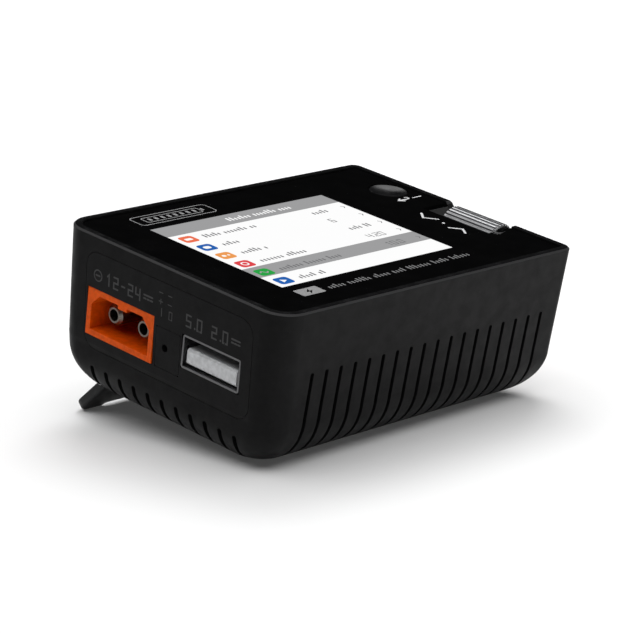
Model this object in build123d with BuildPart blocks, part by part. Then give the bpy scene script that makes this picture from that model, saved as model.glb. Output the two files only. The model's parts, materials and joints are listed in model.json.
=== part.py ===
from build123d import *
import os
from math import cos, radians, sin, sqrt

# A pocket balance battery charger for drone and model batteries, standing on its fold-out leg.
#
# Every piece is drawn level, in the charger's own frame: X to the user's right along the screen's long
# side, Y to the back, Z up, with the origin on the underside below the centre of the top rim. The last
# section tips each piece back onto the leg and writes it in the standing frame, where Z = 0 is the table.

# ---- Case ----
left_x, right_x = -34.15, 34.96  # outer faces of the walls at the rim
front_y, back_y = -25.55, 26.03
height = 28.2
wall = 1.4
left_draft = 0.045  # how far the left wall leans in, per mm of height; the right and back walls are upright
front_draft = 0.075
left_edge_r, right_edge_r = 6.5, 8.8  # rounding of the lower edges
front_edge_r, back_edge_r = 8.5, 9.4
left_corner_r = 4.6
right_corner_r = 1.75
rim_chamfer = 0.3
edge_steps = 6

# ---- Vents ----
front_vent_count = 18
front_vent_pitch = 3.23
front_vent_x = 2.04  # middle of the row
front_vent_top = 17.35
front_vent_w = 0.75
front_vent_inner = 17.4  # the slots reach under the case as far as this from the middle
side_vent_count = 11
side_vent_pitch = 3.387
side_vent_y = 0.27
side_vent_top = 5.55
side_vent_w = 0.95
side_vent_inner = 29.2
grille_r = 13.2
grille_bar = 1.3
grille_pitch = 2.6

# ---- Port plates, one in each side wall ----
plate_w = 39.0
plate_low = 8.6
plate_high = 25.5
plate_corner_r = 2.75
plate_gap = 0.08
left_plate_x = 31.7  # inner face of the part that fills the wall, measured from the middle
right_plate_x = 33.3
right_flange_top = 18.9  # the right plate has no flange beside the control board
flange_t = 0.7
flange_lip = 1.2

# ---- Boards ----
board_t = 1.6
board_top = 12.7
board_half_x = 30.2
board_half_y = 22.2
board_screw_xy = [(-18.6, -19.6), (18.6, -19.6), (-15.6, 20.2), (15.6, 20.2)]
screw_r = 1.0
screw_head_r = 1.8
screw_head_t = 1.1
control_top = 20.2
control_t = 1.0
control_x = (22.3, 32.1)
control_y = (-22.6, 22.8)
control_screw_xy = [(24.5, 21.3), (24.5, 1.95), (29.1, -21.0)]

# ---- Power connectors: 16 x 8.1 mm housings with two 3.5 mm contacts ----
power_w = 16.0
power_h = 8.1
power_z = 15.02
power_wall = 1.0
contact_r = 1.75
contact_root_r = 1.3  # of the inlet pins where the housing holds them
contact_tip_chamfer = 0.45
contact_hollow_r = 1.0
contact_pitch = 7.2
contact_tail_r = 0.9
inlet_y = 10.89
inlet_face_x = -33.62
inlet_depth = 9.0
inlet_tip_setback = 2.0
inlet_back_x = -19.2
outlet_y = 11.5
outlet_shoulder_x = 35.1
outlet_nose = 8.0
outlet_nose_w = 13.8
outlet_nose_h = 5.9
outlet_back_x = 19.9
power_step_x = 24.0  # inboard of this the housings stand on the main board
key_chamfer = 1.8

# ---- USB-A socket ----
usb_y = -10.45
usb_w = 13.2
usb_h = 5.6
usb_wall = 0.35
usb_face_x = -33.5
usb_depth = 14.0
tongue_w = 11.3
tongue_t = 2.7
tongue_lift = 0.75
tongue_setback = 0.3
usb_contact_y = [-3.5, -1.25, 1.25, 3.5]

# ---- Balance socket, seven pins at 2.5 mm ----
balance_y = -9.5
balance_w = 19.9
balance_h = 5.75
balance_wall = 0.85
balance_pins_n = 7
balance_pitch = 2.5
balance_pin = 0.64
balance_back_x = 22.8
balance_face_x = 34.4

# ---- Top cover: frame, lens and display ----
cover_gap = 0.1
frame_low = 25.6
frame_top = 27.45
lens_top = 27.95
screen_x = (-23.84, 16.21)
screen_y = (-14.84, 16.11)
glass_x = (-26.0, 21.3)
glass_y = (-16.6, 17.9)
glass_low = 26.45
pane_top = 27.9
backlight_x = (-25.8, 18.6)
backlight_low = 24.9
hook_w = 8.0
hook_x = [-18.0, 12.0]

# ---- Exit button ----
button_x = 29.3
button_y = 12.3
button_r = 3.45
button_top = 27.85
dish_depth = 0.5
button_clearance = 0.1
button_flat_x = 33.1  # its flange is cut flat beside the port plate
switch_size = 5.6
switch_top = 22.4
plunger_top = 23.2

# ---- Scroll wheel in the right edge ----
wheel_x = 31.3
wheel_z = 25.3
wheel_r = 3.55
wheel_y = (-12.65, -1.25)
wheel_grooves = 30
groove_r = 0.24
wheel_chamfer = 0.4
axle_r = 0.8
axle_clearance = 0.05
notch_x = 27.4
notch_front_y = -12.77
notch_back_y = 2.25  # where its sloping back meets the panel
notch_low = 21.6
slope_low = 25.2
cheek_t = 0.7
cheek_boss_r = 1.3
cradle_low = 20.75
cradle_t = 0.8

# ---- Fan, the 30 x 30 x 7 mm size ----
fan_y = -5.2
fan_size = 30.0
fan_t = 7.0
fan_low = 5.4
fan_bore_r = 14.0
fan_hub_r = 6.6
fan_screw_pitch = 24.0
fan_screw_hole_r = 1.6
fan_blades = 7
fan_shaft_r = 0.75

# ---- Fold-out leg ----
hinge_y = 18.0
hinge_z = 2.0
hinge_pin_r = 0.7
hinge_clearance = 0.05
barrel_r = 1.45
leg_half_w = 28.6
leg_t = 1.7
leg_angle = 47.0  # below the case's underside when it is out
leg_lobe_w = 5.0
leg_arch = 1.2
tip_r = 0.4
recess_half_w = 28.9
recess_front_y = 7.2
recess_back_y = 20.45
recess_ceiling = 3.1

# ---- Rubber feet ----
foot_w = 8.0
foot_d = 3.2
foot_proud = 0.3
foot_sink = 0.4
foot_xy = [(-17.0, -13.5), (17.0, -13.5), (-19.0, 3.2), (19.0, 3.2)]

# ---- Standing pose ----
tilt = 8.42
up_y, up_z = sin(radians(tilt)), cos(radians(tilt))
front_foot_y = foot_xy[0][1] - foot_d / 2
table_level = up_y * front_foot_y - up_z * foot_proud  # height of the table along the standing upright
leg_y, leg_z = cos(radians(leg_angle)), -sin(radians(leg_angle))  # along the open leg
out_y, out_z = -leg_z, leg_y  # across the leg, out of its back face
leg_fall = -(up_y * leg_y + up_z * leg_z)
leg_rise = up_y * out_y + up_z * out_z
hinge_level = up_y * hinge_y + up_z * hinge_z
leg_length = tip_r + (hinge_level - table_level - tip_r - (leg_t / 2 - tip_r) * leg_rise) / leg_fall

os.makedirs("parts", exist_ok=True)
pieces = {}


def keep(name, piece):
    """Label a finished piece and hold it for writing."""
    piece.part.label = name
    pieces[name] = piece.part


def edge_drop(z, radius, inset):
    """How far a rounded lower edge has drawn in at height z."""
    if z >= radius:
        return 0.0
    inner = radius - inset
    return inner - sqrt(max(inner**2 - (radius - z) ** 2, 0.0))


def walls(z, inset):
    """The left, right, front and back walls' places at height z, drawn in by inset."""
    left = left_x + left_draft * (height - z) + inset + edge_drop(z, left_edge_r, inset)
    right = right_x - inset - edge_drop(z, right_edge_r, inset)
    front = front_y + front_draft * (height - z) + inset + edge_drop(z, front_edge_r, inset)
    back = back_y - inset - edge_drop(z, back_edge_r, inset)
    return left, right, front, back


def level_rectangle(left, right, front, back, mode=Mode.ADD):
    """A rectangle given by the places of its four sides."""
    with Locations(((left + right) / 2, (front + back) / 2)):
        Rectangle(right - left, back - front, mode=mode)


def case_section(z, inset):
    """One level section of the case, drawn in by inset."""
    with BuildSketch(Plane.XY.offset(z)) as section:
        level_rectangle(*walls(z, inset))
        fillet(section.vertices().group_by(Axis.X)[0], left_corner_r - 0.9 * inset)
        fillet(section.vertices().group_by(Axis.X)[-1], right_corner_r - 0.9 * inset)
    return section.sketch


def case_form(inset, top, chamfer=0.0):
    """Solid of the case's form, drawn in by inset and carried up to top."""
    angles = [radians(90 * (1 - step / edge_steps)) for step in range(edge_steps + 1)]
    rounded = [case_section(back_edge_r - (back_edge_r - inset) * sin(angle), inset) for angle in angles]
    upright = [case_section(back_edge_r, inset), case_section(top - chamfer, inset)]
    rim = [case_section(top - chamfer, inset), case_section(top, inset + chamfer)] if chamfer else []
    with BuildPart() as form:
        loft(rounded)
        loft(upright, ruled=True)
        if rim:
            loft(rim, ruled=True)
    return form.part


def block(x, y, z, mode=Mode.ADD):
    """A box between two corners, each given as a (low, high) pair."""
    middle = Location(((x[0] + x[1]) / 2, (y[0] + y[1]) / 2, (z[0] + z[1]) / 2))
    with Locations(middle):
        Box(x[1] - x[0], y[1] - y[0], z[1] - z[0], mode=mode)


def post(x, y, z, radius, mode=Mode.ADD):
    """An upright cylinder between two heights."""
    with Locations((x, y, (z[0] + z[1]) / 2)):
        Cylinder(radius, z[1] - z[0], mode=mode)


def rod_x(x, y, z, radius, mode=Mode.ADD):
    """A cylinder lying along X between two places."""
    with Locations(Location(((x[0] + x[1]) / 2, y, z), (0, 90, 0))):
        Cylinder(radius, x[1] - x[0], mode=mode)


def rod_y(x, y, z, radius, mode=Mode.ADD):
    """A cylinder lying along Y between two places."""
    with Locations(Location((x, (y[0] + y[1]) / 2, z), (90, 0, 0))):
        Cylinder(radius, y[1] - y[0], mode=mode)


def cut_notch():
    """Takes the wheel's notch out of a piece, with a back that slopes up to clear a finger."""
    slope_run = (notch_back_y - notch_wall_y) / (lens_top - slope_low)
    above = height + 1
    slope_end = notch_wall_y + slope_run * (above - slope_low)
    with BuildSketch(Plane.YZ.offset(notch_x)) as profile:
        with BuildLine():
            Polyline(
                (notch_front_y, notch_low),
                (notch_wall_y, notch_low),
                (notch_wall_y, slope_low),
                (slope_end, above),
                (notch_front_y, above),
                close=True,
            )
        make_face()
    extrude(profile.sketch, amount=12, mode=Mode.SUBTRACT)


def screws(places, tip, seat, head_r=screw_head_r, shank_r=screw_r):
    """Pan-head screws with a cross recess, from tip up to the seat of the head."""
    for x, y in places:
        post(x, y, (tip, seat + 0.1), shank_r)
        post(x, y, (seat, seat + screw_head_t), head_r)
        top = (seat + 0.5, seat + screw_head_t)
        block((x - head_r * 0.6, x + head_r * 0.6), (y - 0.2, y + 0.2), top, Mode.SUBTRACT)
        block((x - 0.2, x + 0.2), (y - head_r * 0.6, y + head_r * 0.6), top, Mode.SUBTRACT)


outer_form = case_form(0.0, height, rim_chamfer)
inner_form = case_form(wall, height + 1.0)
middle_form = case_form(wall / 2, height - 1.0)

# ---- Lower case: a tub with vents, port windows, bosses and the leg's recess ----
hinge_trough_r = barrel_r + 0.25
pocket_wall = 1.0
fan_screw_x = (-fan_screw_pitch / 2, fan_screw_pitch / 2)
fan_screw_xy = [(x, fan_y + y) for x in fan_screw_x for y in fan_screw_x]
cheek_front = (wheel_y[0] - 0.1 - cheek_t, wheel_y[0] - 0.1)
cheek_back = (wheel_y[1] + 0.1, wheel_y[1] + 0.1 + cheek_t)
notch_wall_y = cheek_back[1] + 0.1
hook_z = 22.6
hook_faces = [(walls(hook_z, wall)[2], -1), (walls(hook_z, wall)[3], 1)]  # inner faces of the walls they grip

with BuildPart() as inner_features:
    for x, y in board_screw_xy:
        post(x, y, (0.2, board_top - board_t), 2.2)
    for x, y in fan_screw_xy:
        post(x, y, (0.2, fan_low), 2.3)
    block(
        (-recess_half_w - 1.8, recess_half_w + 1.8),
        (recess_front_y - pocket_wall, recess_back_y + pocket_wall),
        (0.2, recess_ceiling + pocket_wall),
    )
    rod_x((-recess_half_w - 1.8, recess_half_w + 1.8), hinge_y, hinge_z, hinge_trough_r + pocket_wall)
    add(middle_form, mode=Mode.INTERSECT)

with BuildPart() as lower_case:
    add(outer_form)
    add(inner_form, mode=Mode.SUBTRACT)
    for side in (1, -1):
        with BuildSketch(Plane.XZ.offset(side * front_vent_inner)):
            with Locations((front_vent_x, front_vent_top / 2 - 1)):
                with GridLocations(front_vent_pitch, 1, front_vent_count, 1):
                    SlotOverall(front_vent_top + 2, front_vent_w, rotation=90)
        extrude(amount=side * 12, mode=Mode.SUBTRACT)
        with BuildSketch(Plane.YZ.offset(side * side_vent_inner)):
            with Locations((side_vent_y, side_vent_top / 2 - 1)):
                with GridLocations(side_vent_pitch, 1, side_vent_count, 1):
                    SlotOverall(side_vent_top + 2, side_vent_w, rotation=90)
        extrude(amount=side * 8, mode=Mode.SUBTRACT)
        with BuildSketch(Plane.YZ.offset(side * 28.0)):
            with Locations((0, (plate_low + plate_high) / 2)):
                RectangleRounded(plate_w, plate_high - plate_low, plate_corner_r)
        extrude(amount=side * 12, mode=Mode.SUBTRACT)
    add(inner_features.part)
    # the leg folds into this recess, and its barrel turns in the trough
    block((-recess_half_w, recess_half_w), (recess_front_y, hinge_y), (-1, recess_ceiling), Mode.SUBTRACT)
    block((-recess_half_w, recess_half_w), (hinge_y, recess_back_y), (-1, hinge_z), Mode.SUBTRACT)
    rod_x((-recess_half_w, recess_half_w), hinge_y, hinge_z, hinge_trough_r, Mode.SUBTRACT)
    rod_x((-recess_half_w - 1.5, recess_half_w + 1.5), hinge_y, hinge_z, hinge_pin_r + 0.01, Mode.SUBTRACT)
    with BuildSketch(Plane.XY.offset(-1)):
        with Locations((0, fan_y)):
            Circle(grille_r)
            with GridLocations(1, grille_pitch, 1, 11):
                Rectangle(2 * grille_r, grille_bar, mode=Mode.SUBTRACT)
    extrude(amount=3.0, mode=Mode.SUBTRACT)
    with BuildSketch(Plane.XY.offset(foot_sink)):
        with Locations(*foot_xy):
            RectangleRounded(foot_w + 0.1, foot_d + 0.1, 1.0)
    extrude(amount=-2, mode=Mode.SUBTRACT)
    for x, y in board_screw_xy:
        post(x, y, (4.6, board_top), screw_r + 0.02, Mode.SUBTRACT)
    for x, y in fan_screw_xy:
        post(x, y, (3.5, fan_low + 1), screw_r + 0.02, Mode.SUBTRACT)
    cut_notch()
    for x in hook_x:
        for face, side in hook_faces:
            pocket = sorted((face - side * 0.6, face + side * 0.65))
            block((x - hook_w / 2 - 0.3, x + hook_w / 2 + 0.3), pocket, (21.9, 23.4), Mode.SUBTRACT)
keep("lower_case", lower_case)


def port_plate(side, inner, openings):
    """A plate that fills one wall's port window, with rectangular openings at (y, z, w, h)."""
    with BuildPart() as plate:
        add(outer_form)
        with BuildSketch(Plane.YZ.offset(side * inner)):
            with Locations((0, (plate_low + plate_high) / 2)):
                plate_h = plate_high - plate_low
                RectangleRounded(plate_w - 2 * plate_gap, plate_h - 2 * plate_gap, plate_corner_r - plate_gap)
        extrude(amount=side * 5, mode=Mode.INTERSECT)
        flange_x = sorted((side * inner, side * (inner - flange_t)))
        half_flange = plate_w / 2 + flange_lip
        block(flange_x, (-half_flange, half_flange), (plate_low - 0.3, plate_high - 0.6))
        for y, z, w, h in openings:
            block((-50, 50), (y - w / 2, y + w / 2), (z - h / 2, z + h / 2), Mode.SUBTRACT)
        if side > 0:
            block((0, inner), (-50, 50), (right_flange_top, 50), Mode.SUBTRACT)
            cut_notch()
    return plate


service_y = (-3.4, 2.2)
service_z = (10.9, 17.8)
usb_z = board_top + 0.05 + usb_h / 2
balance_z = board_top + 0.05 + balance_h / 2
service = ((service_y[0] + service_y[1]) / 2, (service_z[0] + service_z[1]) / 2)
service_size = (service_y[1] - service_y[0], service_z[1] - service_z[0])
left_port_plate = port_plate(
    -1,
    left_plate_x,
    [
        (inlet_y, power_z, power_w + 0.16, power_h + 0.16),
        (usb_y, usb_z, usb_w + 0.2, usb_h + 0.2),
        (*service, service_size[0] + 0.12, service_size[1] + 0.12),
    ],
)
keep("left_port_plate", left_port_plate)
right_port_plate = port_plate(
    1,
    right_plate_x,
    [
        (outlet_y, power_z, power_w + 0.16, power_h + 0.16),
        (balance_y, balance_z, balance_w + 0.2, balance_h + 0.2),
    ],
)
keep("right_port_plate", right_port_plate)

cover_x = -left_plate_x + flange_t + 0.02
with BuildPart() as service_cover:
    add(outer_form)
    with BuildSketch(Plane.YZ.offset(cover_x)):
        with Locations(service):
            RectangleRounded(*service_size, 0.4)
    extrude(amount=-6, mode=Mode.INTERSECT)
    grip_y = (service_y[0] - 0.35, service_y[1] + 0.6)
    block((cover_x, cover_x + 0.3), grip_y, (service_z[0] - 0.8, service_z[1] + 0.8))
    rod_x((-40, -20), service[0] + 0.65, service[1] + 0.2, 0.65, Mode.SUBTRACT)
keep("service_cover", service_cover)

# ---- Power inlet: male contacts recessed in a keyed cavity ----
with BuildPart() as inlet_housing:
    low, high = power_z - power_h / 2, power_z + power_h / 2
    across = (inlet_y - power_w / 2, inlet_y + power_w / 2)
    block((inlet_face_x, -power_step_x), across, (low, high))
    block((-power_step_x, inlet_back_x), across, (board_top + 0.03, high))
    with BuildSketch(Plane.YZ.offset(inlet_face_x)) as mouth:
        with Locations((inlet_y, power_z)):
            Rectangle(power_w - 2 * power_wall, power_h - 2 * power_wall)
        chamfer(mouth.vertices().group_by(Axis.Y)[-1], key_chamfer)
        with Locations((inlet_y - 0.4, high - power_wall)):
            Rectangle(2.1, 1.2, mode=Mode.SUBTRACT)
    extrude(amount=inlet_depth, mode=Mode.SUBTRACT)
    for side in (-1, 1):
        y = inlet_y + side * contact_pitch / 2
        rod_x((inlet_face_x, inlet_back_x + 1), y, power_z, contact_root_r + 0.01, Mode.SUBTRACT)
keep("inlet_housing", inlet_housing)

with BuildPart() as inlet_pins:
    for side in (-1, 1):
        y = inlet_y + side * contact_pitch / 2
        tip = inlet_face_x + inlet_tip_setback
        rod_x((tip, inlet_face_x + inlet_depth), y, power_z, contact_r)
    chamfer(inlet_pins.edges().filter_by(GeomType.CIRCLE).group_by(Axis.X)[0], contact_tip_chamfer)
    for side in (-1, 1):
        y = inlet_y + side * contact_pitch / 2
        rod_x((inlet_face_x + inlet_depth, inlet_back_x + 0.6), y, power_z, contact_root_r)
        rod_x((tip - 1, tip + 5.0), y, power_z, contact_hollow_r, Mode.SUBTRACT)
        rod_x((inlet_back_x, inlet_back_x + 2.2), y, power_z, contact_tail_r)
        post(inlet_back_x + 1.4, y, (board_top - board_t - 0.6, power_z), contact_tail_r)
keep("inlet_pins", inlet_pins)

# ---- Charging outlet: female contacts in a keyed nose ----
with BuildPart() as outlet_housing:
    low, high = power_z - power_h / 2, power_z + power_h / 2
    across = (outlet_y - power_w / 2, outlet_y + power_w / 2)
    block((power_step_x, outlet_shoulder_x), across, (low, high))
    block((outlet_back_x, power_step_x), across, (board_top + 0.03, high))
    with BuildSketch(Plane.YZ.offset(outlet_shoulder_x)) as nose:
        with Locations((outlet_y, power_z)):
            Rectangle(outlet_nose_w, outlet_nose_h)
        chamfer(nose.vertices().group_by(Axis.Y)[-1], key_chamfer)
    extrude(amount=outlet_nose)
    for side in (-1, 1):
        y = outlet_y + side * contact_pitch / 2
        rod_x((outlet_back_x - 1, 50), y, power_z, contact_r + 0.51, Mode.SUBTRACT)
keep("outlet_housing", outlet_housing)

with BuildPart() as outlet_sockets:
    for side in (-1, 1):
        y = outlet_y + side * contact_pitch / 2
        mouth_x = outlet_shoulder_x + outlet_nose - 0.2
        rod_x((outlet_back_x - 0.6, mouth_x), y, power_z, contact_r + 0.5)
        rod_x((mouth_x - 9.0, 50), y, power_z, contact_r, Mode.SUBTRACT)
        rod_x((outlet_back_x - 2.2, outlet_back_x), y, power_z, contact_tail_r)
        post(outlet_back_x - 1.4, y, (board_top - board_t - 0.6, power_z), contact_tail_r)
keep("outlet_sockets", outlet_sockets)

# ---- Balance socket ----
with BuildPart() as balance_housing:
    across = (balance_y - balance_w / 2, balance_y + balance_w / 2)
    low, high = board_top + 0.05, board_top + 0.05 + balance_h
    block((balance_back_x, balance_face_x), across, (low, high))
    inner = (across[0] + balance_wall, across[1] - balance_wall)
    cavity_z = (low + balance_wall, high - balance_wall)
    block((balance_face_x - 7.0, balance_face_x + 1), inner, cavity_z, Mode.SUBTRACT)
    for y in (balance_y - 5.0, balance_y + 5.0):
        slot_x = (balance_face_x - 4.5, balance_face_x + 1)
        block(slot_x, (y - 0.8, y + 0.8), (high - 1.5, high + 1), Mode.SUBTRACT)
    with Locations((balance_back_x, balance_y, balance_z)):
        with GridLocations(1, balance_pitch, 1, balance_pins_n):
            Box(20, balance_pin + 0.02, balance_pin + 0.02, mode=Mode.SUBTRACT)
keep("balance_housing", balance_housing)

with BuildPart() as balance_pins:
    for pin in range(balance_pins_n):
        y = balance_y + (pin - (balance_pins_n - 1) / 2) * balance_pitch
        across = (y - balance_pin / 2, y + balance_pin / 2)
        block((balance_back_x - 1.4, balance_face_x - 1.4), across, (balance_z - 0.32, balance_z + 0.32))
        block((balance_back_x - 1.4, balance_back_x - 0.76), across, (board_top + 0.01, balance_z))
keep("balance_pins", balance_pins)

# ---- USB-A socket ----
with BuildPart() as usb_shell:
    shell_x = (usb_face_x, usb_face_x + usb_depth)
    across = (usb_y - usb_w / 2, usb_y + usb_w / 2)
    low, high = usb_z - usb_h / 2, usb_z + usb_h / 2
    block(shell_x, across, (low, high))
    fillet(usb_shell.edges().filter_by(Axis.X), 0.5)
    inner = (across[0] + usb_wall, across[1] - usb_wall)
    through_x = (usb_face_x - 1, usb_face_x + usb_depth + 1)
    block(through_x, inner, (low + usb_wall, high - usb_wall), Mode.SUBTRACT)
keep("usb_shell", usb_shell)

with BuildPart() as usb_insert:
    gap = usb_wall + 0.02
    block(
        (usb_face_x + 10.5, usb_face_x + usb_depth),
        (usb_y - usb_w / 2 + gap, usb_y + usb_w / 2 - gap),
        (usb_z - usb_h / 2 + gap, usb_z + usb_h / 2 - gap),
    )
    tongue_z = (usb_z - usb_h / 2 + tongue_lift, usb_z - usb_h / 2 + tongue_lift + tongue_t)
    tongue_x = (usb_face_x + tongue_setback, usb_face_x + 11)
    block(tongue_x, (usb_y - tongue_w / 2, usb_y + tongue_w / 2), tongue_z)
    chamfer(usb_insert.edges().filter_by(Axis.Y).group_by(Axis.X)[0], 0.35)
keep("usb_insert", usb_insert)

with BuildPart() as usb_contacts:
    for offset_y in usb_contact_y:
        y = usb_y + offset_y
        top = (tongue_z[1] + 0.01, tongue_z[1] + 0.16)
        block((usb_face_x + 3.6, usb_face_x + 10.3), (y - 0.5, y + 0.5), top)
keep("usb_contacts", usb_contacts)

# ---- Main board and what stands on it ----
fan_window = fan_size + 1.6
with BuildPart() as main_board:
    with BuildSketch(Plane.XY.offset(board_top - board_t)):
        RectangleRounded(2 * board_half_x, 2 * board_half_y, 1.5)
        with Locations((0, fan_y)):
            RectangleRounded(fan_window, fan_window, 1.0, mode=Mode.SUBTRACT)
        for side, y in ((-1, inlet_y), (1, outlet_y)):
            with Locations((side * (power_step_x - 0.2 + 5), y)):
                Rectangle(10, power_w + 0.3, mode=Mode.SUBTRACT)
        with Locations(*board_screw_xy):
            Circle(screw_r + 0.15, mode=Mode.SUBTRACT)
        for tail_x, y in ((inlet_back_x + 1.4, inlet_y), (outlet_back_x - 1.4, outlet_y)):
            with Locations((tail_x, y - contact_pitch / 2), (tail_x, y + contact_pitch / 2)):
                Circle(contact_tail_r + 0.05, mode=Mode.SUBTRACT)
    extrude(amount=board_t)
keep("main_board", main_board)

with BuildPart() as main_board_screws:
    screws(board_screw_xy, 6.0, board_top + 0.01)
keep("main_board_screws", main_board_screws)

coil_x, coil_y, coil_size, coil_h = -8.9, 16.7, 8.6, 6.0
with BuildPart() as power_inductor:
    with BuildSketch(Plane.XY.offset(board_top + 0.02)):
        with Locations((coil_x, coil_y)):
            RectangleRounded(coil_size, coil_size, 1.2)
    extrude(amount=coil_h)
    fillet(power_inductor.faces().sort_by(Axis.Z)[-1].edges(), 0.5)
keep("power_inductor", power_inductor)

transistor_x = [-0.6, 4.7, 10.0]
transistor_y, transistor_t = 16.7, 1.0
with BuildPart() as power_transistors:
    for x in transistor_x:
        package_y = (transistor_y - 2.9, transistor_y + 2.9)
        block((x - 2.4, x + 2.4), package_y, (board_top + 0.02, board_top + transistor_t))
keep("power_transistors", power_transistors)

pad_t = 0.5
pad_z = board_top + transistor_t + 0.02
sink_x = (transistor_x[0] - 2.6, transistor_x[-1] + 2.6)
sink_y = (transistor_y - 4.6, transistor_y + 4.6)
with BuildPart() as thermal_pad:
    block(sink_x, (transistor_y - 3, transistor_y + 3), (pad_z, pad_z + pad_t))
keep("thermal_pad", thermal_pad)

fin_count, fin_t, fin_top, sink_base = 9, 0.7, 23.6, 1.6
with BuildPart() as heat_sink:
    base_z = pad_z + pad_t + 0.02
    block(sink_x, sink_y, (base_z, base_z + sink_base))
    fin_pitch = (sink_x[1] - sink_x[0] - fin_t) / (fin_count - 1)
    for fin in range(fin_count):
        x = sink_x[0] + fin * fin_pitch
        block((x, x + fin_t), sink_y, (base_z, fin_top))
keep("heat_sink", heat_sink)

capacitor_xy = [(18.35, -13.4), (18.35, -7.2), (18.35, -1.0)]
capacitor_r, capacitor_h = 2.6, 8.0
with BuildPart() as capacitors:
    for x, y in capacitor_xy:
        post(x, y, (board_top + 0.02, board_top + capacitor_h), capacitor_r)
        cross_z = (board_top + capacitor_h - 0.25, board_top + capacitor_h + 1)
        block((x - 2.2, x + 2.2), (y - 0.12, y + 0.12), cross_z, Mode.SUBTRACT)
        block((x - 0.12, x + 0.12), (y - 2.2, y + 2.2), cross_z, Mode.SUBTRACT)
keep("capacitors", capacitors)

with BuildPart() as controller_chip:
    block((-27.5, -21.5), (-3.5, 2.3), (board_top + 0.02, board_top + 1.1))
    chamfer(controller_chip.faces().sort_by(Axis.Z)[-1].edges(), 0.2)
keep("controller_chip", controller_chip)

with BuildPart() as buzzer:
    post(-22.5, -9.0, (board_top - board_t - 3.2, board_top - board_t - 0.02), 4.4)
    post(-22.5, -9.0, (0, board_top - board_t - 2.6), 0.9, Mode.SUBTRACT)
keep("buzzer", buzzer)

# ---- Fan ----
strut_t = 1.2
fan_top = fan_low + fan_t
bearing_r = 2.0
with BuildPart() as fan_frame:
    with BuildSketch(Plane.XY.offset(fan_low)):
        with Locations((0, fan_y)):
            RectangleRounded(fan_size, fan_size, 3.0)
            Circle(fan_bore_r, mode=Mode.SUBTRACT)
            with GridLocations(fan_screw_pitch, fan_screw_pitch, 2, 2):
                Circle(fan_screw_hole_r, mode=Mode.SUBTRACT)
    extrude(amount=fan_t)
    with BuildSketch(Plane.XY.offset(fan_low)):
        with Locations((0, fan_y)):
            Circle(fan_hub_r)
            with PolarLocations(fan_bore_r / 2, 3, start_angle=30):
                Rectangle(fan_bore_r + 1.0, 1.6)
    extrude(amount=strut_t)
    post(0, fan_y, (fan_low, fan_low + 5.0), bearing_r)
    post(0, fan_y, (fan_low + 0.4, fan_top), fan_shaft_r + 0.03, Mode.SUBTRACT)
keep("fan_frame", fan_frame)

blade_z = (fan_low + strut_t + 0.4, fan_top - 0.4)
with BuildPart() as fan_rotor:
    post(0, fan_y, (blade_z[0], blade_z[1] + 0.1), fan_hub_r - 0.1)
    post(0, fan_y, (0, blade_z[1] - 0.8), fan_hub_r - 0.9, Mode.SUBTRACT)
    post(0, fan_y, (fan_low + 0.9, blade_z[1]), fan_shaft_r)
    with Locations((0, fan_y, (blade_z[0] + blade_z[1]) / 2)):
        with PolarLocations((fan_hub_r + fan_bore_r) / 2 - 0.3, fan_blades):
            Box(fan_bore_r - fan_hub_r - 0.2, 0.8, 5.6, rotation=(38, 0, 0))
    fillet(fan_rotor.faces().sort_by(Axis.Z)[-1].edges(), 0.3)
keep("fan_rotor", fan_rotor)

with BuildPart() as fan_screws:
    screws(fan_screw_xy, 3.7, fan_top + 0.01, head_r=2.2)
keep("fan_screws", fan_screws)

# ---- Top cover ----
ribbon_y = (4.4, 13.6)
frame_walls = walls(frame_low, wall + cover_gap)
lens_walls = walls(frame_top, wall + cover_gap)


def cover_slab(sides, low, high, window_x, window_y):
    """A slab inside the rim with the display window, the button hole and the wheel notch."""
    with BuildPart() as slab:
        with BuildSketch(Plane.XY.offset(low)) as outline:
            level_rectangle(*sides)
            fillet(outline.vertices().group_by(Axis.X)[0], left_corner_r - wall)
            fillet(outline.vertices().group_by(Axis.X)[-1], right_corner_r - 1.2)
            level_rectangle(*window_x, *window_y, mode=Mode.SUBTRACT)
            with Locations((button_x, button_y)):
                Circle(button_r + button_clearance, mode=Mode.SUBTRACT)
        extrude(amount=high - low)
    return slab.part


glass_window = [(low - 0.1, high + 0.1) for low, high in (glass_x, glass_y)]
frame_slab = cover_slab(frame_walls, frame_low, frame_top, *glass_window)
lens_slab = cover_slab(lens_walls, frame_top + 0.01, lens_top, screen_x, screen_y)
encoder_y = (cheek_front[0] - 3.7, cheek_front[0] - 0.02)
encoder_top = 26.35
notch_boss_x = 32.4

with BuildPart() as top_frame:
    add(frame_slab)
    for x, y in control_screw_xy:
        post(x, y, (control_top + 0.02, frame_low + 0.5), 1.5)
    for x in hook_x:
        for face, side in hook_faces:
            hook_y = sorted((face - side * 0.3, face - side * 1.3))
            barb_y = sorted((face + side * 0.3, face - side * 0.4))
            block((x - hook_w / 2, x + hook_w / 2), hook_y, (21.6, frame_low + 0.5))
            block((x - hook_w / 2, x + hook_w / 2), barb_y, (22.1, 23.1))
    block((notch_x - 0.8, notch_boss_x), (notch_wall_y, notch_back_y + 0.8), (23.0, frame_low + 0.5))
    cut_notch()
    block((28.7, 40), (encoder_y[0] - 0.2, notch_front_y), (20, encoder_top + 0.25), Mode.SUBTRACT)
    rod_y(wheel_x, (cheek_front[0] - 0.1, notch_front_y), wheel_z, cheek_boss_r + 0.2, Mode.SUBTRACT)
    block((20.0, 22.0), (ribbon_y[0] - 0.2, ribbon_y[1] + 0.2), (20, 26.6), Mode.SUBTRACT)
    for x, y in control_screw_xy:
        post(x, y, (control_top - 1, frame_top - 0.6), screw_r - 0.18, Mode.SUBTRACT)
keep("top_frame", top_frame)

with BuildPart() as front_lens:
    add(lens_slab)
    cut_notch()
keep("front_lens", front_lens)

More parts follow.
